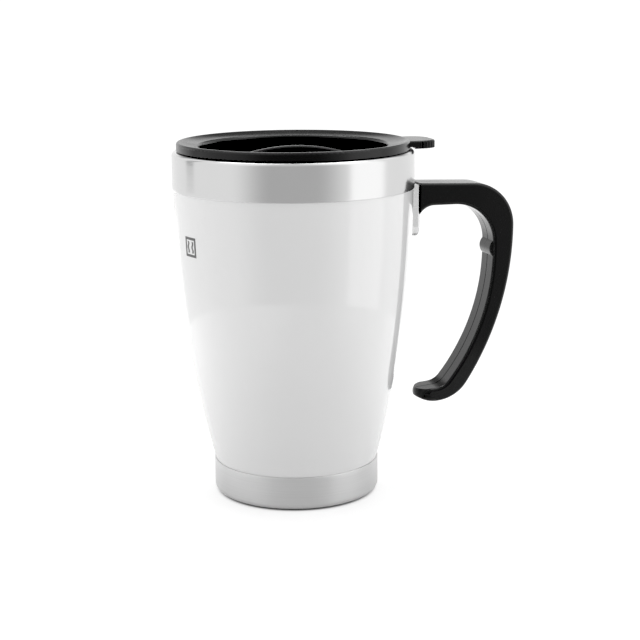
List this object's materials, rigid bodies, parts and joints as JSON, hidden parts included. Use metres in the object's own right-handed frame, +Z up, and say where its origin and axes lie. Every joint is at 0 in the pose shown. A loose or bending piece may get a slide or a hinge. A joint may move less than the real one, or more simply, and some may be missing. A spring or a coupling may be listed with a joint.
{
  "type": "insulated travel mug",
  "caption": "Tapered double-wall travel mug with a hook handle on a steel rail and a press-in lid with a turning drink closure.",
  "frame": {"origin": "centre of the foot pad's underside, where the mug stands", "axes": "+Z up along the mug's axis, +X towards the handle"},
  "size_m": [0.1308, 0.09, 0.1337],
  "materials": {
    "white_lacquer": "high-gloss white lacquer",
    "polished_steel": "mirror-polished stainless steel",
    "inner_steel": "spun satin stainless steel",
    "brushed_steel": "horizontally brushed stainless steel",
    "rail_steel": "bright stainless steel",
    "screw_steel": "zinc-plated steel",
    "handle_plastic": "black moulded plastic, satin gloss",
    "lid_plastic": "black moulded plastic, satin gloss",
    "seal_rubber": "matt black rubber",
    "silicone": "soft dark grey silicone",
    "foam": "rigid expanded foam"
  },
  "bodies": {
    "mug": {"outer_shell": "white_lacquer", "rim_band": "polished_steel", "inner_cup": "inner_steel", "collar_gasket": "seal_rubber", "insulation_sleeve": "foam", "insulation_disc": "foam", "base_cup": "brushed_steel", "base_gasket": "seal_rubber", "foot_pad": "seal_rubber", "handle_bracket": "rail_steel", "bracket_backing_plate": "rail_steel", "bracket_screws": "screw_steel", "handle_half_near": "handle_plastic", "handle_half_far": "handle_plastic", "handle_screws": "screw_steel"},
    "lid": {"lid_body": "lid_plastic", "lid_seal": "silicone", "sip_seal": "silicone"},
    "closure": {"closure_disc": "lid_plastic", "closure_retainer": "lid_plastic", "pivot_o_ring": "silicone"}
  },
  "joints": [
    {"name": "lid_lift", "type": "slide", "parent": "mug", "child": "lid", "axis": [0, 0, 1], "range_m": [0, 0.05]},
    {"name": "closure_turn", "type": "hinge", "parent": "lid", "child": "closure", "pos_m": [0, 0, 0.1244], "axis": [0, 0, 1], "range_deg": [0, 50]}
  ]
}
